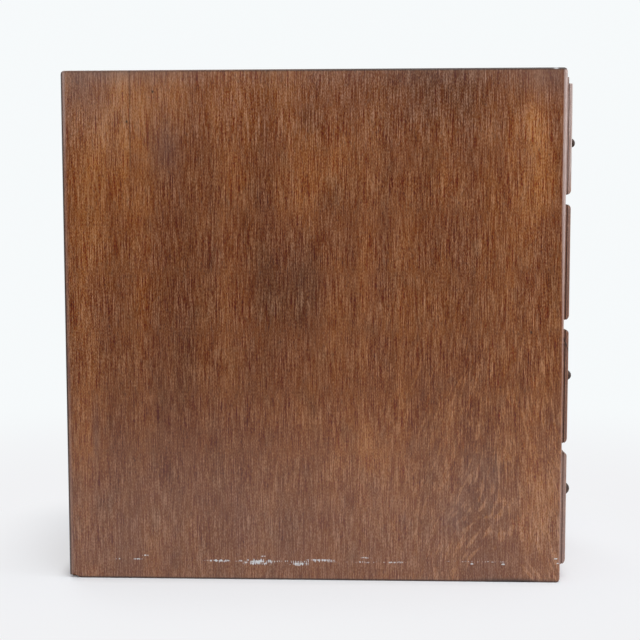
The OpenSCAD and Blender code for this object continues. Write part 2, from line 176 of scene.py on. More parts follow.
def edge_distance(start):
    """Distance in metres from the nearest arris of the piece."""
    inside = place(start).vector("SUBTRACT", kept(start, "mid"))
    inside = inside.node("ShaderNodeVectorMath", {"operation": "ABSOLUTE"}, {0: inside})
    inside = kept(start, "half").vector("SUBTRACT", inside)
    x = inside.axis("X")
    y = inside.axis("Y")
    larger = x.math("MAXIMUM", x, y)
    return x.math("MAXIMUM", x.math("MINIMUM", x, y), x.math("MINIMUM", larger, inside.axis("Z")))


def oak_grain(start):
    """Tone of quarter-sawn oak, how bright its fine lines are, and its open pores, along the grain."""
    log = kept(start, "log")
    bands = log.noise((0.032, 0.032, 0.45))
    streaks = log.noise((0.009, 0.009, 0.10), 2.0)
    lines = log.noise((0.0014, 0.0014, 0.070), 1.0)
    strands = log.noise((0.00064, 0.00064, 0.018), 0.0)
    dots = log.noise((0.00064, 0.00064, 0.0019), 0.0)
    pores = log.noise((0.0007, 0.0007, 0.0036), 0.0).rise(0.58, 0.78)
    depth = 0.70 + 0.6 * log.noise((0.022, 0.022, 0.09), 1.0)
    fine = depth * (0.21 * (lines - 0.5) + 1.48 * (strands - 0.5) + 1.15 * (dots - 0.5))
    mottle = log.noise((0.007, 0.007, 0.010), 2.0)
    tone = 0.590 + 0.40 * (bands - 0.5) + 0.16 * (streaks - 0.5) + 0.10 * (mottle - 0.5)
    return tone, fine, pores


def oak_rays(start, bend=(0.0, 0.0, 0.0)):
    """Pale wavy ray flecks that lean across the grain, in loose drifts, pushed sideways by bend."""
    log = kept(start, "log").vector("ADD", bend)
    drift = log.vector("DIVIDE", (0.09, 0.09, 0.11))
    sway = log.node("ShaderNodeTexNoise", {}, {"Vector": drift, "Scale": 1.0, "Detail": 1.0}, "Color")
    sway = sway.vector("SUBTRACT", (0.5, 0.5, 0.5)).vector("MULTIPLY", (0.036, 0.036, 0.0))
    flecks = log.vector("ADD", sway).noise((0.0024, 0.0024, 0.020), 1.0)
    return flecks.rise(0.52, 0.66)


OAK_STOPS = [
    (0.10, (0.088, 0.027, 0.008, 1.0)),
    (0.38, (0.134, 0.042, 0.010, 1.0)),
    (0.52, (0.178, 0.057, 0.013, 1.0)),
    (0.70, (0.268, 0.096, 0.025, 1.0)),
    (0.92, (0.430, 0.187, 0.060, 1.0)),
]
PORE_BROWN = (0.074, 0.026, 0.011, 1.0)
# Dark lines take most from blue, down to a floor, and pale lines add a tint, so that both stay neutral
LINE_SHADE = (0.88, 1.88, 4.80)
LINE_FLOOR = (0.12, 0.12, 0.05)
LINE_TINT = (0.27, 0.190, 0.150)
RAY_TAN = (0.450, 0.220, 0.115, 1.0)
BARE_OAK = (0.300, 0.185, 0.115, 1.0)
GREY_BROWN = (0.105, 0.058, 0.041, 1.0)
RED_BROWN = (0.165, 0.048, 0.016, 1.0)


def oak_finish(grain, rays, worn, colour_change=None):
    """Sockets for stained, varnished oak of that grain, with its rays and worn arrises."""
    tone, lines, pores = grain
    log = kept(tone, "log")
    colour = tone.ramp(OAK_STOPS)
    reddened = log.noise((0.020, 0.020, 0.06), 2.0).rise(0.40, 0.66) * 0.45
    colour = reddened.mix(colour, RED_BROWN)
    greyed = log.noise((0.018, 0.018, 0.035), 2.0).rise(0.54, 0.80) * 0.28
    colour = greyed.mix(colour, GREY_BROWN)
    colour = (rays * 0.66).mix(colour, RAY_TAN)
    dark_lines = lines.math("MINIMUM", lines, 0.0).vector("MULTIPLY", LINE_SHADE)
    pale_lines = lines.math("MAXIMUM", lines, 0.0).vector("MULTIPLY", LINE_TINT)
    dark_lines = dark_lines.vector("ADD", (1.0, 1.0, 1.0)).vector("MAXIMUM", LINE_FLOOR)
    colour = colour.vector("MULTIPLY", dark_lines).vector("ADD", pale_lines)
    colour = (pores * 0.40).mix(colour, PORE_BROWN)
    colour = worn.mix(colour, BARE_OAK)
    if colour_change:
        colour = colour_change(colour)
    height = lines - 0.6 * pores + 0.3 * rays
    gloss = log.noise((0.03, 0.03, 0.08), 2.0)
    return {
        "Base Color": colour,
        "Roughness": 0.25 + 0.18 * gloss + 0.12 * pores + 0.1 * worn,
        "Specular IOR Level": 0.5,
        "Normal": height.bump(0.00008),
    }


# Marks on the left side: y and z of the middle, in metres in the case's frame, the reach each way, and
# how strong the mark is. A smudge below 0 darkens the wood.
SIDE_LOW, SIDE_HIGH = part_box("side_left")
SMUDGES = [
    ((0.184, 0.400), (0.070, 0.130), 0.17),
    ((0.110, 0.440), (0.100, 0.050), 0.12),
    ((0.115, 0.260), (0.045, 0.170), -0.09),
    ((0.043, 0.330), (0.030, 0.110), -0.09),
    ((0.022, 0.266), (0.045, 0.075), -0.30),
    ((0.040, 0.190), (0.050, 0.050), -0.08),
    ((0.011, 0.253), (0.007, 0.034), -0.10),
    ((0.062, 0.321), (0.009, 0.036), -0.10),
    ((-0.048, 0.270), (0.014, 0.110), 0.10),
    ((-0.014, 0.330), (0.018, 0.050), -0.06),
    ((-0.115, 0.448), (0.100, 0.055), -0.23),
    ((-0.022, 0.388), (0.040, 0.055), 0.13),
    ((-0.195, 0.365), (0.032, 0.090), 0.26),
    ((-0.122, 0.362), (0.030, 0.050), 0.09),
    ((0.004, 0.352), (0.036, 0.062), 0.13),
    ((0.198, 0.300), (0.030, 0.230), 0.12),
    ((0.198, 0.120), (0.026, 0.090), 0.08),
    ((0.020, 0.050), (0.022, 0.075), -0.15),
    ((-0.058, 0.115), (0.065, 0.072), 0.14),
    ((-0.024, 0.190), (0.026, 0.140), 0.05),
    ((-0.200, 0.080), (0.034, 0.150), 0.21),
    ((0.130, 0.150), (0.060, 0.170), -0.09),
]
SPOTS = [(0.164, 0.412), (0.1406, 0.438), (-0.1936, 0.226)]
SPOT_REACH = (0.0016, 0.0022)
SPOT_BLACK = (0.022, 0.013, 0.010, 1.0)
SCUFFS = [
    ((0.0500, 0.0163), (0.022, 0.0044), 0.85),
    ((0.0500, 0.0163), (0.010, 0.0032), 0.40),
    ((0.0125, 0.0150), (0.014, 0.0026), 1.10),
    ((-0.0072, 0.0187), (0.018, 0.0013), 1.05),
    ((-0.0736, 0.0172), (0.014, 0.0014), 0.95),
    ((-0.0480, 0.0172), (0.018, 0.0014), 0.60),
    ((-0.0480, 0.0212), (0.008, 0.0010), 0.70),
    ((0.0300, 0.0172), (0.130, 0.0013), 0.42),
    ((-0.1433, 0.0166), (0.0020, 0.0013), 2.4),
    ((-0.1714, 0.0164), (0.0024, 0.0010), 2.0),
    ((-0.1500, 0.0186), (0.055, 0.0009), 0.44),
    ((0.1584, 0.0180), (0.0080, 0.0010), 1.15),
    ((0.1525, 0.0215), (0.0050, 0.0010), 0.95),
    ((0.1783, 0.0181), (0.0055, 0.0010), 0.75),
    ((0.0850, 0.0170), (0.0130, 0.0022), 0.70),
    ((0.0460, 0.0216), (0.0080, 0.0010), 0.65),
    ((-0.2180, 0.0220), (0.0040, 0.0007), 1.3),
    ((-0.2195, 0.0178), (0.0028, 0.0008), 1.2),
]
SCUFF_WHITE = (0.62, 0.62, 0.63, 1.0)
# Pale colour of the painted sheen and of the painted reflection of the floor
PALE_SHEEN = (0.270, 0.210, 0.190, 1.0)
# Dark colour of the top and rear arris lines, the glue line, and the painted shadow along the foot
DARK_LINES_AND_FOOT_SHADE = (0.034, 0.018, 0.014, 1.0)
# Pale colour of the painted highlight on the arrises
ARRIS_HIGHLIGHT = (0.440, 0.335, 0.310, 1.0)
# Patches of painted sheen, greyer and more purple, mostly near the top and the foot
SHEEN_PATCHES = [
    ((-0.205, 0.448), (0.050, 0.030), 0.34),
    ((0.170, 0.456), (0.100, 0.014), 0.36),
    ((0.131, 0.388), (0.024, 0.045), 0.28),
    ((0.205, 0.440), (0.016, 0.024), 0.24),
    ((-0.150, 0.095), (0.030, 0.040), 0.22),
    ((-0.128, 0.060), (0.022, 0.034), 0.26),
    ((0.196, 0.130), (0.006, 0.050), 0.30),
]
SHEEN_GREY_PURPLE = (0.125, 0.072, 0.060, 1.0)
# Factor that deepens the colour over the middle height
MID_HEIGHT_DEEPENING = (0.90, 0.82, 0.66)
RAY_LEAN = 0.26
RAY_CREST = -0.165
RAY_TURN = 0.04
RAY_LEVEL = 0.12
GLUE_LINE = 0.1612
# Middle and reach of a painted highlight on a small nick in the top arris
NICK_HIGHLIGHT = ((-0.2120, 0.4562), (0.0034, 0.0014))


def left_side_paint(start):
    """Sockets for the left side: its oak under the smudges, scuffs and worn edges of that one board, with
    painted highlights, sheen and shade.
    """
    at = place(start)
    y = at.axis("Y")
    z = at.axis("Z")
    tone, lines, pores = oak_grain(start)
    clouds = at.noise((1.0, 0.035, 0.06), 3.0)
    for middle, reach, shift in SMUDGES:
        tone = tone + shift * at.patch(middle, reach) * (0.4 + 1.2 * clouds)
    drift = y.rise(-0.02, -0.16) * z.rise(0.36, 0.10)
    side_of_crest = 2.0 * y.rise(RAY_CREST - RAY_TURN, RAY_CREST + RAY_TURN) - 1.0
    lean = RAY_LEAN * side_of_crest * (z - RAY_LEVEL)
    rays = oak_rays(start, start.node("ShaderNodeCombineXYZ", {}, {"Y": lean}))
    rays = rays * (0.10 + 0.75 * drift)
    streaked = at.noise((1.0, 0.0009, 0.0040), 0.0) + 0.7 * at.noise((1.0, 0.004, 0.0012), 1.0)
    scuffed = sum(strength * at.patch(middle, reach) for middle, reach, strength in SCUFFS)
    scuffs = (scuffed + 3.4 * (streaked - 0.85)).rise(0.50, 1.15) * scuffed.rise(0.05, 0.40)
    # Darker along the top and rear arrises; along the foot a painted shadow, a dark line at the bottom edge
    # and a patch towards the front, where the case meets the floor.
    dark_arris_and_foot_shade = z.rise(SIDE_HIGH.z - 0.0028, SIDE_HIGH.z - 0.0012)
    dark_arris_and_foot_shade = dark_arris_and_foot_shade * (0.45 + 0.65 * y.rise(0.18, -0.06))
    rear_edge = y.rise(SIDE_HIGH.y - 0.0026, SIDE_HIGH.y - 0.0012)
    foot_shade_line = z.rise(0.0024, 0.0010)
    foot_shadow_patch = 1.5 * at.patch((-0.180, 0.0), (0.070, 0.0050))
    for edge in (rear_edge, foot_shade_line, foot_shadow_patch):
        dark_arris_and_foot_shade = dark_arris_and_foot_shade.math("MAXIMUM", dark_arris_and_foot_shade, edge)
    dark_arris_and_foot_shade = dark_arris_and_foot_shade * at.axis("X").rise(SIDE_LOW.x + 0.0040, SIDE_LOW.x + 0.0020)
    # Painted highlight: paler along the rounded front arris, more so higher up, and in a band by the rear
    # arris, where the varnish would gleam.
    from_front = y - 0.0024 * z.rise(0.14, 0.36)
    arris_highlight = from_front.rise(SIDE_LOW.y + 0.0018, SIDE_LOW.y + 0.0002)
    arris_highlight = arris_highlight * (0.22 + 0.50 * z.rise(0.12, 0.40))
    arris_highlight = arris_highlight * (0.35 + 1.4 * at.noise((0.003, 0.0008, 0.0080), 2.0))
    rear_highlight_band = y.rise(SIDE_HIGH.y - 0.0050, SIDE_HIGH.y - 0.0026)
    arris_highlight = arris_highlight + (0.16 + 0.30 * z.rise(0.36, 0.42)) * rear_highlight_band
    # Painted sheen: paler towards the top edge and over the upper rear of the board.
    top_sheen = 0.09 * z.rise(SIDE_HIGH.z - 0.020, SIDE_HIGH.z - 0.004)
    top_sheen = top_sheen + 0.14 * z.rise(0.36, 0.45) * y.rise(0.08, 0.20)
    joint = 0.40 * y.band(GLUE_LINE, 0.0002, 0.0009) * z.rise(0.34, 0.39)
    spots = sum(at.patch(spot, SPOT_REACH) for spot in SPOTS)
    sheen_patched = sum(strength * at.patch(middle, reach) for middle, reach, strength in SHEEN_PATCHES)

    def marks(colour):
        # Deeper colour over the middle height, leaving the top and the foot paler: a painted sheen at top
        # and foot.
        mid_height = z.rise(0.44, 0.36) * z.rise(0.03, 0.13)
        colour = mid_height.mix(colour, colour.vector("MULTIPLY", MID_HEIGHT_DEEPENING))
        # Painted sheen in greyer patches, broken by the clouds.
        colour = (sheen_patched * (0.3 + 1.4 * clouds)).mix(colour, SHEEN_GREY_PURPLE)
        # Painted reflection of the pale floor: paler towards the foot.
        foot_reflection = 0.11 * z.rise(0.20, 0.06) * (0.6 + 0.8 * clouds)
        colour = (foot_reflection + top_sheen).mix(colour, PALE_SHEEN)
        colour = arris_highlight.mix(colour, ARRIS_HIGHLIGHT)
        colour = (0.82 * dark_arris_and_foot_shade + joint).mix(colour, DARK_LINES_AND_FOOT_SHADE)
        # A pale mark on the top arris towards the front: a painted highlight on a small nick.
        colour = (0.8 * at.patch(*NICK_HIGHLIGHT)).mix(colour, SCUFF_WHITE)
        colour = spots.mix(colour, SPOT_BLACK)
        return scuffs.mix(colour, SCUFF_WHITE)

    worn = 0.10 * edge_distance(start).rise(0.006, 0.001)
    return oak_finish((tone, lines, pores), rays, worn, marks)


# Ways that a piece's grain can run: across the case, front to back, or upright
ACROSS, LENGTHWISE, UPRIGHT = range(3)
LOG_AXES = [(1, 2, 0), (0, 2, 1), (0, 1, 2)]
LOG_SPREAD = 5.0
LOG_LEAN = 0.015
WELD = 1e-6
FLAT_ANGLE = math.radians(0.3)
ARRIS_ANGLE = math.radians(28)
SHADE_ANGLE = math.radians(50)
boards = random.Random(41)


def dressed(node, body, material, ease, grain=UPRIGHT):
    """The finished piece for a CAD node: its solid welded, hard arrises eased, with its own grain."""
    low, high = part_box(node)
    bm = bmesh.new()
    bm.from_mesh(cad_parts[node].data)
    bmesh.ops.remove_doubles(bm, verts=bm.verts, dist=WELD)
    bmesh.ops.dissolve_degenerate(bm, edges=bm.edges, dist=WELD)
    bmesh.ops.dissolve_limit(bm, angle_limit=FLAT_ANGLE, verts=bm.verts, edges=bm.edges)
    hard = [e for e in bm.edges if e.is_convex and e.calc_face_angle(0) > ARRIS_ANGLE]
    bmesh.ops.bevel(bm, geom=hard, offset=ease, offset_type="OFFSET", segments=2, profile=0.5,
        affect="EDGES", clamp_overlap=True)
    bmesh.ops.remove_doubles(bm, verts=bm.verts, dist=WELD)
    for face in bm.faces:
        face.smooth = True
    for edge in bm.edges:
        edge.smooth = edge.calc_face_angle(0) < SHADE_ANGLE
    mesh = bpy.data.meshes.new(node + "_piece")
    bm.to_mesh(mesh)
    bm.free()
    offset = Vector([boards.uniform(-LOG_SPREAD, LOG_SPREAD) for k in range(3)])
    lean = boards.uniform(-LOG_LEAN, LOG_LEAN)
    keep = {"log": [], "mid": [], "half": []}
    for vertex in mesh.vertices:
        log = Vector([vertex.co[k] for k in LOG_AXES[grain]])
        log.x += lean * log.z
        keep["log"].extend(log + offset)
        keep["mid"].extend((low + high) / 2)
        keep["half"].extend((high - low) / 2)
    for name, values in keep.items():
        mesh.attributes.new(name, "FLOAT_VECTOR", "POINT").data.foreach_set("vector", values)
    mesh.materials.append(material)
    piece = bpy.data.objects.new(node + "_piece", mesh)
    bpy.context.scene.collection.objects.link(piece)
    even = piece.modifiers.new("even_shading", "WEIGHTED_NORMAL")
    even.keep_sharp = True
    even.weight = 100
    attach(piece, body)
    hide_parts(node)


scuffed_oak = surface("scuffed_oak", left_side_paint)
dressed("side_left", "case", scuffed_oak, 0.0005, UPRIGHT)


# Right side, top and bottom of the case, and the three rails between the drawers: the same stained
# oak, cut and fitted dry, then glued into rabbets and housings. Their arrises have lost some stain.

RAILS = (1, 2, 3)


def stained_oak_paint(start):
    drifts = kept(start, "log").noise((0.12, 0.12, 0.35), 1.0).rise(0.42, 0.62)
    chafed = place(start).noise((0.02, 0.02, 0.02), 3.0).rise(0.35, 0.7)
    worn = 0.55 * edge_distance(start).rise(0.0045, 0.0004) * chafed
    return oak_finish(oak_grain(start), oak_rays(start) * drifts, worn)


stained_oak = surface("stained_oak", stained_oak_paint)
dressed("side_right", "case", stained_oak, 0.0005, UPRIGHT)
dressed("top_board", "case", stained_oak, 0.0005, LENGTHWISE)
dressed("bottom_board", "case", stained_oak, 0.0005, LENGTHWISE)
for n in RAILS:
    dressed(f"rail_{n}", "case", stained_oak, 0.0004, ACROSS)


# Runners: strips of plain pale wood, never stained, screwed to the insides of the case. Years of
# drawers have polished them and left them grey with dust.

PALE_STOPS = [
    (0.15, (0.235, 0.130, 0.060, 1.0)),
    (0.45, (0.390, 0.245, 0.125, 1.0)),
    (0.60, (0.455, 0.300, 0.160, 1.0)),
    (0.90, (0.560, 0.400, 0.235, 1.0)),
]
HAND_GREY = (0.215, 0.140, 0.085, 1.0)


def pale_wood_paint(start):
    log = kept(start, "log")
    bands = log.noise((0.030, 0.030, 0.5), 2.0)
    figure = log.noise((0.008, 0.008, 0.16), 3.0)
    fibres = log.noise((0.0016, 0.0016, 0.03), 2.0)
    tone = 0.5 + 0.6 * (bands - 0.5) + 0.6 * (figure - 0.5) + 0.5 * (fibres - 0.5)
    pores = log.noise((0.0011, 0.0011, 0.008), 1.0).rise(0.62, 0.72)
    grime = place(start).noise((0.05, 0.05, 0.05), 3.0).rise(0.45, 0.75)
    handled = edge_distance(start).rise(0.006, 0.0005) * (0.25 + 0.5 * grime) + 0.22 * grime
    colour = handled.mix(tone.ramp(PALE_STOPS), HAND_GREY)
    colour = (0.4 * pores).mix(colour, HAND_GREY)
    return {
        "Base Color": colour,
        "Roughness": 0.48 + 0.2 * fibres,
        "Normal": (fibres - pores).bump(0.0001),
    }


pale_wood = surface("pale_wood", pale_wood_paint)
for n in RAILS:
    for hand in ("left", "right"):
        dressed(f"runner_{n}_{hand}", "case", pale_wood, 0.0004, LENGTHWISE)


# Runner screws: plain steel countersunk wood screws with a slot, three to a runner, driven from
# the inside of the case until their heads lie level with the wood.

def screw_tree(slotted):
    """Screws or nails on points: a low round head, with or without a slot, over a plain shank."""
    tree = bpy.data.node_groups.new("slotted_screws" if slotted else "nails", "GeometryNodeTree")
    sockets = [("Places", "NodeSocketGeometry"), ("Head width", "NodeSocketFloat"),
        ("Head height", "NodeSocketFloat"), ("Shank width", "NodeSocketFloat"),
        ("Length", "NodeSocketFloat"), ("Seed", "NodeSocketInt"), ("Metal", "NodeSocketMaterial")]
    for name, kind in sockets:
        tree.interface.new_socket(name, in_out="INPUT", socket_type=kind)
    tree.interface.new_socket("Fasteners", in_out="OUTPUT", socket_type="NodeSocketGeometry")
    given = tree.nodes.new("NodeGroupInput").outputs

    def add(kind, settings, inputs, out=0):
        made = tree.nodes.new(kind)
        for name, value in settings.items():
            setattr(made, name, value)
        for key, value in inputs.items():
            if isinstance(value, bpy.types.NodeSocket):
                tree.links.new(value, made.inputs[key])
            else:
                made.inputs[key].default_value = value
        return made.outputs[out]

    def times(value, factor):
        return add("ShaderNodeMath", {"operation": "MULTIPLY"}, {0: value, 1: factor})

    def triple(x, y, z):
        return add("ShaderNodeCombineXYZ", {}, {0: x, 1: y, 2: z})

    ball = add("GeometryNodeMeshUVSphere", {}, {"Segments": 28, "Rings": 14, "Radius": 1.0})
    half_width = times(given["Head width"], 0.5)
    dome = triple(half_width, half_width, given["Head height"])
    head = add("GeometryNodeTransform", {}, {"Geometry": ball, "Scale": dome})
    if slotted:
        slot_long = times(given["Head width"], 1.2)
        slot_wide = times(given["Head width"], 0.15)
        slot_size = triple(slot_long, slot_wide, given["Head height"])
        slot = add("GeometryNodeMeshCube", {}, {"Size": slot_size})
        lift = triple(0.0, 0.0, given["Head height"])
        slot = add("GeometryNodeTransform", {}, {"Geometry": slot, "Translation": lift})
        head = add("GeometryNodeMeshBoolean", {"operation": "DIFFERENCE"}, {"Mesh 1": head, "Mesh 2": slot})
    shank = add("GeometryNodeMeshCylinder", {}, {"Vertices": 16, "Depth": given["Length"],
        "Radius": times(given["Shank width"], 0.5)})
    sink = triple(0.0, 0.0, times(given["Length"], -0.5))
    shank = add("GeometryNodeTransform", {}, {"Geometry": shank, "Translation": sink})
    join = tree.nodes.new("GeometryNodeJoinGeometry")
    tree.links.new(head, join.inputs[0])
    tree.links.new(shank, join.inputs[0])
    outward = add("GeometryNodeInputNamedAttribute", {"data_type": "FLOAT_VECTOR"}, {"Name": "outward"})
    facing = add("FunctionNodeAlignRotationToVector", {"axis": "Z"}, {"Vector": outward})
    turn = add("FunctionNodeRandomValue", {"data_type": "FLOAT"},
        {2: 0.0, 3: math.pi, "Seed": given["Seed"]}, 1)
    spin = add("FunctionNodeAxisAngleToRotation", {}, {"Axis": (0.0, 0.0, 1.0), "Angle": turn})
    facing = add("FunctionNodeRotateRotation", {"rotation_space": "LOCAL"}, {0: facing, 1: spin})
    points = add("GeometryNodeMeshToPoints", {}, {"Mesh": given["Places"]})
    copies = add("GeometryNodeInstanceOnPoints", {}, {"Points": points, "Instance": join.outputs[0],
        "Rotation": facing})
    real = add("GeometryNodeRealizeInstances", {}, {"Geometry": copies})
    metal = add("GeometryNodeSetMaterial", {}, {"Geometry": real, "Material": given["Metal"]})
    tree.links.new(metal, tree.nodes.new("NodeGroupOutput").inputs[0])
    return tree


def separate_solids(node):
    """Lowest and highest corner of each loose solid in a CAD node."""
    bm = bmesh.new()
    bm.from_mesh(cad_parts[node].data)
    bmesh.ops.remove_doubles(bm, verts=bm.verts, dist=WELD)
    boxes = []
    left = set(bm.verts)
    while left:
        front = [left.pop()]
        group = list(front)
        while front:
            near = {e.other_vert(v) for v in front for e in v.link_edges} & left
            left -= near
            front = list(near)
            group += front
        corners = [(min(v.co[k] for v in group), max(v.co[k] for v in group)) for k in range(3)]
        boxes.append((Vector([c[0] for c in corners]), Vector([c[1] for c in corners])))
    bm.free()
    return sorted(boxes, key=lambda box: tuple(box[0]))


HEAD_ANGLE = math.radians(35)


def fasteners(node, body, tree, metal, axis, side_of, head_height, shank, seed):
    """Screws or nails where a CAD node has them, heads facing the way along the axis that side_of gives."""
    places = []
    outward = []
    for low, high in separate_solids(node):
        middle = (low + high) / 2
        way = side_of(middle)
        head = middle.copy()
        head[axis] = (high if way > 0 else low)[axis] - way * head_height
        places.append(head)
        outward += [way if k == axis else 0.0 for k in range(3)]
        across = (high - low)[(axis + 1) % 3]
        length = (high - low)[axis] - head_height
    mesh = bpy.data.meshes.new(node + "_places")
    mesh.from_pydata(places, [], [])
    mesh.attributes.new("outward", "FLOAT_VECTOR", "POINT").data.foreach_set("vector", outward)
    piece = bpy.data.objects.new(node + "_piece", mesh)
    bpy.context.scene.collection.objects.link(piece)
    maker = piece.modifiers.new("fasteners", "NODES")
    maker.node_group = tree
    sizes = {"Head width": across, "Head height": head_height, "Shank width": shank, "Length": length,
        "Seed": seed, "Metal": metal}
    for item in tree.interface.items_tree:
        if item.name in sizes:
            maker[item.identifier] = sizes[item.name]
    ready = piece.evaluated_get(bpy.context.evaluated_depsgraph_get())
    made = bpy.data.meshes.new_from_object(ready)
    piece.modifiers.remove(maker)
    piece.data = made
    for face in made.polygons:
        face.use_smooth = True
    made.set_sharp_from_angle(angle=HEAD_ANGLE)
    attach(piece, body)
    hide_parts(node)


STEEL_GREY = (0.36, 0.36, 0.355, 1.0)
STEEL_DULL = (0.20, 0.195, 0.19, 1.0)
RUST = (0.115, 0.050, 0.024, 1.0)


def old_steel_paint(start):
    at = place(start)
    clouds = at.noise((0.02, 0.02, 0.02), 4.0)
    lines = at.noise((0.0009, 0.03, 0.0009), 2.0)
    rust = at.noise((0.006, 0.009, 0.006), 4.0).rise(0.64, 0.74)
    colour = (clouds.rise(0.35, 0.7) * 0.8 + 0.3 * (lines - 0.5)).mix(STEEL_GREY, STEEL_DULL)
    return {
        "Base Color": (0.7 * rust).mix(colour, RUST),
        "Metallic": 1.0 - 0.75 * rust,
        "Roughness": 0.30 + 0.22 * clouds + 0.25 * rust,
        "Normal": (lines + 0.6 * clouds).bump(0.00005),
    }


old_steel = surface("old_steel", old_steel_paint)
slotted = screw_tree(True)
fasteners("runner_screws", "case", slotted, old_steel, axis=0,
    side_of=lambda at: -math.copysign(1.0, at.x), head_height=0.0006, shank=0.0034, seed=5)


# Back panel: one sheet of thin plywood, rotary-cut, let into rabbets all round the back of the case.
# It was left without stain and has darkened with age.

PLY_STOPS = [
    (0.15, (0.170, 0.088, 0.038, 1.0)),
    (0.45, (0.300, 0.172, 0.082, 1.0)),
    (0.65, (0.370, 0.225, 0.115, 1.0)),
    (0.90, (0.450, 0.300, 0.170, 1.0)),
]


def plywood_paint(start):
    log = kept(start, "log")
    sway = log.noise((0.10, 0.10, 0.22), 2.0)
    across = log.axis("X") + 0.10 * sway
    rings = log.node("ShaderNodeCombineXYZ", {}, {"X": across, "Z": log.axis("Z") * 0.02})
    figure = rings.noise((0.009, 1.0, 0.02), 3.0)
    fibres = log.noise((0.0013, 0.0013, 0.022), 2.0)
    flecks = log.noise((0.0010, 0.0010, 0.006), 1.0).rise(0.64, 0.72)
    stains = place(start).noise((0.09, 0.09, 0.09), 4.0).rise(0.48, 0.8)
    tone = 0.5 + 0.9 * (figure - 0.5) + 0.5 * (fibres - 0.5) - 0.25 * stains
    colour = (0.45 * flecks).mix(tone.ramp(PLY_STOPS), HAND_GREY)
    dust = 0.25 * edge_distance(start).rise(0.02, 0.002)
    return {
        "Base Color": dust.mix(colour, HAND_GREY),
        "Roughness": 0.55 + 0.2 * fibres,
        "Normal": (fibres - flecks).bump(0.00008),
    }


plywood = surface("plywood", plywood_paint)
dressed("back_panel", "case", plywood, 0.0003, UPRIGHT)


# Nails of the back panel: plain flat-headed iron, hammered in round its edge and gone dark with rust.

IRON_BLACK = (0.050, 0.046, 0.043, 1.0)
IRON_WORN = (0.175, 0.165, 0.155, 1.0)


def dark_iron_paint(start):
    at = place(start)
    clouds = at.noise((0.004, 0.004, 0.004), 4.0)
    rust = at.noise((0.0022, 0.0022, 0.0022), 3.0).rise(0.52, 0.68)
    colour = clouds.rise(0.45, 0.75).mix(IRON_BLACK, IRON_WORN)
    return {
        "Base Color": (0.6 * rust).mix(colour, RUST),
        "Metallic": 0.9 - 0.6 * rust,
        "Roughness": 0.42 + 0.25 * clouds,
        "Normal": clouds.bump(0.00008),
    }


dark_iron = surface("dark_iron", dark_iron_paint)
fasteners("back_nails", "case", screw_tree(False), dark_iron, axis=1,
    side_of=lambda at: 1.0, head_height=0.0009, shank=0.0016, seed=11)


# Drawer fronts: solid oak, grain across, with a lip moulded all round that closes on the case and
# half-blind sockets behind for the dovetails of the drawer sides. Hands have worn the lips; the first
# lip carries a painted highlight, and the quirks painted shade.

DRAWERS = (1, 2, 3, 4)
FRONT_LOW, FRONT_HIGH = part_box("drawer_1_front")
LAST_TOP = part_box("drawer_4_front")[1].z
LIP_THICK = 0.0055
LIP_EDGE = 0.0016
LIP_GREY = (0.165, 0.085, 0.066, 1.0)
# Pale colour of the painted highlight on the lips
LIP_PALE_HIGHLIGHT = (0.480, 0.395, 0.370, 1.0)
# Dark colour of the painted shade in the lip quirks and of the crack
QUIRK_SHADE_AND_CRACK = (0.030, 0.016, 0.012, 1.0)
SHADE_LINE_BEHIND = 0.0021
CRACK_SLOPE = 2.3
CRACK_Y = FRONT_LOW.y + 0.0005
CRACK_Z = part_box("drawer_3_front")[1].z - 0.019


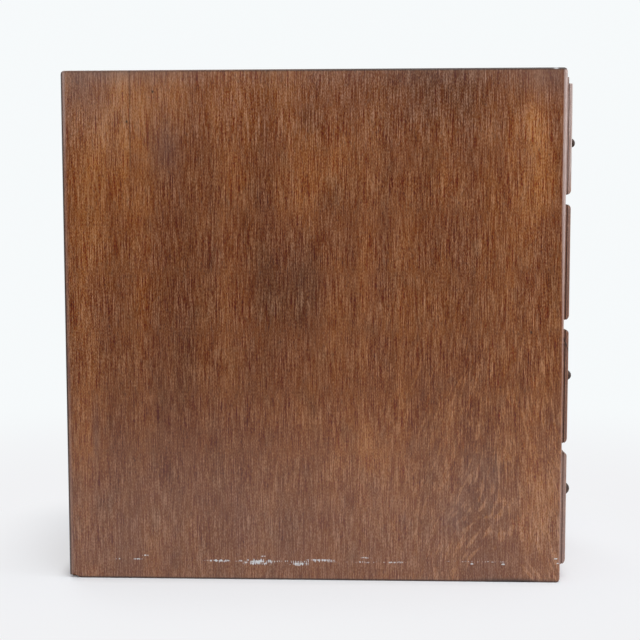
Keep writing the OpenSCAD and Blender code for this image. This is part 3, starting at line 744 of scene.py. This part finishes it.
def drawer_front_paint(start):
    """Sockets for the drawer fronts: oak, with a painted highlight on the first lip, painted shade in the
    lip quirks, and the third front cracked.
    """
    at = place(start)
    x = at.axis("X")
    y = at.axis("Y")
    z = at.axis("Z")
    tone, lines, pores = oak_grain(start)
    drifts = kept(start, "log").noise((0.06, 0.06, 0.12), 1.0).rise(0.40, 0.62)
    chafed = at.noise((0.012, 0.012, 0.012), 3.0).rise(0.38, 0.68)
    worn = 0.42 * edge_distance(start).rise(0.0036, 0.0003) * chafed
    behind_face = y - FRONT_LOW.y
    over_end = x.rise(FRONT_LOW.x + 0.0030, FRONT_LOW.x + 0.0010)
    over_end = over_end + x.rise(FRONT_HIGH.x - 0.0030, FRONT_HIGH.x - 0.0010)
    # Painted shade in the quirk of the lip and in a line where the moulding steps behind the face, lighter
    # on the first and last drawers.
    quirk_shade = behind_face.band(LIP_THICK - LIP_EDGE, 0.0002, 0.0008) * over_end
    moulding_shade_line = behind_face.band(SHADE_LINE_BEHIND, 0.0002, 0.0006) * over_end
    first = z.rise(FRONT_LOW.z - 0.004, FRONT_LOW.z + 0.006)
    last = z.rise(LAST_TOP + 0.004, LAST_TOP - 0.006)
    quirk_shade_share = 1.0 - 0.45 * first - 0.65 * last
    streaky = at.noise((0.002, 0.0012, 0.024), 3.0).rise(0.28, 0.72)
    # Painted highlight on the rounded outer edge of the first lip, broken by streaks.
    rubbed = behind_face.rise(0.0022, 0.0006) * first
    rubbed = rubbed * x.rise(FRONT_LOW.x + 0.0042, FRONT_LOW.x + 0.0020)
    rubbed = rubbed * (0.10 + 1.5 * streaky)
    across_crack = z - CRACK_SLOPE * (y - CRACK_Y) - CRACK_Z
    crack = across_crack.band(0.0, 0.0008, 0.0016)
    crack = crack * x.rise(FRONT_LOW.x + 0.0060, FRONT_LOW.x + 0.0040)

    def marks(colour):
        colour = (0.55 * over_end).mix(colour, LIP_GREY)
        # The first lip's end and its outer edge carry a painted highlight; the last lip is paler too.
        colour = (0.32 * first * over_end * (0.1 + 1.8 * streaky)).mix(colour, LIP_PALE_HIGHLIGHT)
        colour = (0.8 * rubbed).mix(colour, LIP_PALE_HIGHLIGHT)
        colour = (0.22 * last * over_end).mix(colour, LIP_PALE_HIGHLIGHT)
        # The quirk and moulding lines are painted shade; the crack is dark in the wood.
        return (quirk_shade_share * (0.85 * quirk_shade + 0.6 * moulding_shade_line) + 0.9 * crack).mix(colour, QUIRK_SHADE_AND_CRACK)

    return oak_finish((tone - 0.05, lines, pores), oak_rays(start) * drifts, worn, marks)


drawer_oak = surface("drawer_oak", drawer_front_paint)
for n in DRAWERS:
    dressed(f"drawer_{n}_front", f"drawer_{n}", drawer_oak, 0.0004, ACROSS)


# Drawer boxes: thin sides dovetailed into the front and housed for the back, in pale wood with no
# finish but years of handling along the top edges.

for n in DRAWERS:
    for hand in ("left", "right"):
        dressed(f"drawer_{n}_side_{hand}", f"drawer_{n}", pale_wood, 0.0004, LENGTHWISE)
    dressed(f"drawer_{n}_back", f"drawer_{n}", pale_wood, 0.0005, ACROSS)
    dressed(f"drawer_{n}_bottom", f"drawer_{n}", plywood, 0.0003, ACROSS)


# Pulls: one casting each, a finger cup under a frame for a title card, in brass that has gone brown.
# Fingers keep the cup's lip and the frame's edges a little brighter.

PATINA_BROWN = (0.046, 0.020, 0.013, 1.0)
PATINA_DARK = (0.020, 0.009, 0.006, 1.0)
RUBBED_BRASS = (0.300, 0.190, 0.085, 1.0)


def aged_brass_paint(start):
    at = place(start)
    clouds = at.noise((0.012, 0.012, 0.012), 4.0)
    specks = at.noise((0.0015, 0.0015, 0.0015), 3.0)
    rubbed = at.noise((0.009, 0.009, 0.005), 3.0).rise(0.50, 0.66)
    rubbed = rubbed * edge_distance(start).rise(0.004, 0.0005)
    colour = clouds.rise(0.35, 0.65).mix(PATINA_DARK, PATINA_BROWN)
    colour = (0.3 * specks.rise(0.55, 0.7)).mix(colour, RUBBED_BRASS)
    return {
        "Base Color": (0.75 * rubbed).mix(colour, RUBBED_BRASS),
        "Metallic": 0.5,
        "Specular IOR Level": 0.15,
        "Roughness": 0.52 - 0.18 * rubbed + 0.12 * specks,
        "Normal": (clouds + 0.5 * specks).bump(0.0001),
    }


aged_brass = surface("aged_brass", aged_brass_paint)
for n in DRAWERS:
    dressed(f"drawer_{n}_pull", f"drawer_{n}", aged_brass, 0.0003)
    fasteners(f"drawer_{n}_pull_screws", f"drawer_{n}", slotted, dark_iron, axis=1,
        side_of=lambda at: -1.0, head_height=0.0015, shank=0.0024, seed=20 + n)


# Tracks and followers: a T-shaped steel track is screwed along each drawer's floor, and a pressed
# steel plate slides on it behind the cards. Both are bare metal, dulled and lightly rusted.

for n in DRAWERS:
    dressed(f"drawer_{n}_track", f"drawer_{n}", old_steel, 0.0002)
    fasteners(f"drawer_{n}_track_screws", f"drawer_{n}", slotted, old_steel, axis=2,
        side_of=lambda at: 1.0, head_height=0.0004, shank=0.0024, seed=40 + n)
    dressed(f"drawer_{n}_follower", f"follower_{n}", old_steel, 0.0003)


# Floor: a wide pale sheet that the case stands on. Away from the case it fades into the white
# of the background, and near the case it keeps the shadow, with a painted shade in its glow.

FLOOR_SIZE = 30.0
FLOOR_PALE = (0.835, 0.855, 0.885, 1.0)
DIM_ROOM = (0.05, 0.05, 0.052, 1.0)
BACKGROUND = (0.925, 0.952, 0.962, 1.0)
FLOOR_NEAR_SHADE = (0.885, 0.888, 0.905, 1.0)
NEAR_START = 0.20
NEAR_END = 0.90
DIM_START = 0.40
DIM_END = 1.00
FADE_START = 0.01
FADE_END = 0.15
SHADOW_SHARE = 0.44
CONTACT_SHARE = 0.50
CONTACT_END = 0.018


def white_to_camera(start):
    """1 for the rays that show the background: seen directly, in gloss or through glass."""
    seen = start.node("ShaderNodeLightPath", {}, {}, "Is Camera Ray")
    gloss = start.node("ShaderNodeLightPath", {}, {}, "Is Glossy Ray")
    through = start.node("ShaderNodeLightPath", {}, {}, "Is Transmission Ray")
    return seen.math("MAXIMUM", seen, seen.math("MAXIMUM", gloss, through))


half = FLOOR_SIZE / 2
floor_mesh = bpy.data.meshes.new("floor")
floor_mesh.from_pydata([(-half, -half, 0), (half, -half, 0), (half, half, 0), (-half, half, 0)], [],
    [(0, 1, 2, 3)])
floor = bpy.data.objects.new("floor", floor_mesh)
bpy.context.scene.collection.objects.link(floor)
floor_material = bpy.data.materials.new("pale_floor")
floor_material.use_nodes = True
floor_tree = floor_material.node_tree
floor_tree.nodes.clear()
start = Wire(floor_tree)
beside = place(start)
beside = beside.node("ShaderNodeVectorMath", {"operation": "ABSOLUTE"}, {0: beside})
beside = beside.vector("SUBTRACT", (cad_high.x, cad_high.y, 0.0)).vector("MAXIMUM", (0.0, 0.0, 0.0))
spread = beside.node("ShaderNodeVectorMath", {"operation": "LENGTH"}, {0: beside}, "Value")
shadow = SHADOW_SHARE * spread.rise(FADE_END, FADE_START)
contact = CONTACT_SHARE * spread.rise(CONTACT_END, 0.0)
far = (1.0 - shadow - contact) * white_to_camera(start)
sheet = start.node("ShaderNodeBsdfDiffuse", {}, {"Color": FLOOR_PALE})
room = spread.rise(DIM_START, DIM_END) * start.node("ShaderNodeLightPath", {}, {}, "Is Glossy Ray")
# The floor's glow darkens towards the case: a painted shadow round it.
floor_glow = spread.rise(NEAR_END, NEAR_START).mix(BACKGROUND, FLOOR_NEAR_SHADE)
glow = start.node("ShaderNodeEmission", {}, {"Color": room.mix(floor_glow, DIM_ROOM), "Strength": 1.0})
shown = start.node("ShaderNodeMixShader", {}, {0: far, 1: sheet, 2: glow})
output = floor_tree.nodes.new("ShaderNodeOutputMaterial")
floor_tree.links.new(shown.socket, output.inputs["Surface"])
floor_mesh.materials.append(floor_material)


# Light: a white studio with large soft boxes, the room behind the camera left dim, so that the
# varnish shows the pale floor towards its foot and little else.

AMBIENT = (0.46, 0.465, 0.475, 1.0)
world = bpy.data.worlds.new("studio")
bpy.context.scene.world = world
world.use_nodes = True
world_tree = world.node_tree
world_tree.nodes.clear()
start = Wire(world_tree)
toward = start.node("ShaderNodeTexCoord", {}, {}, "Generated").axis("X")
mirrored = toward.rise(-0.75, -0.15).mix(DIM_ROOM, BACKGROUND)
gloss = start.node("ShaderNodeLightPath", {}, {}, "Is Glossy Ray")
shown = gloss.mix(BACKGROUND, mirrored)
shown = white_to_camera(start).mix(AMBIENT, shown)
sky = start.node("ShaderNodeBackground", {}, {"Color": shown, "Strength": 1.0})
output = world_tree.nodes.new("ShaderNodeOutputWorld")
world_tree.links.new(sky.socket, output.inputs["Surface"])

SOFT_BOXES = [
    ("key_box", (-1.3, -0.5, 2.1), 1.4, 29.0),
    ("front_box", (-0.5, -2.0, 1.2), 1.2, 22.0),
    ("far_box", (1.8, 1.2, 1.6), 1.2, 14.0),
]
for name, spot, size, power in SOFT_BOXES:
    lamp = bpy.data.lights.new(name, "AREA")
    lamp.shape = "SQUARE"
    lamp.size = size
    lamp.energy = power
    box = bpy.data.objects.new(name, lamp)
    box.location = spot
    aim = Vector((0.0, 0.0, cad_high.z / 2)) - Vector(spot)
    box.rotation_euler = aim.to_track_quat("-Z", "Y").to_euler()
    bpy.context.scene.collection.objects.link(box)


# Camera: level with the upper drawers, square on to the left side and a little towards its front.

EYE = Vector((-1.0678, -0.0435, 0.3135))
YAW = math.radians(2.16)
PITCH = math.radians(-4.506)
ROLL = math.radians(-0.06)
lens = bpy.data.cameras.new("camera")
lens.lens = 61.875
lens.sensor_width = 36.0
camera = bpy.data.objects.new("camera", lens)
camera.location = EYE
forward = Vector((math.cos(YAW) * math.cos(PITCH), math.sin(YAW) * math.cos(PITCH), math.sin(PITCH)))
level = forward.to_track_quat("-Z", "Y")
camera.rotation_euler = (level @ Quaternion((0.0, 0.0, 1.0), ROLL)).to_euler()
bpy.context.scene.collection.objects.link(camera)
bpy.context.scene.camera = camera
bpy.context.scene.view_settings.view_transform = "Standard"
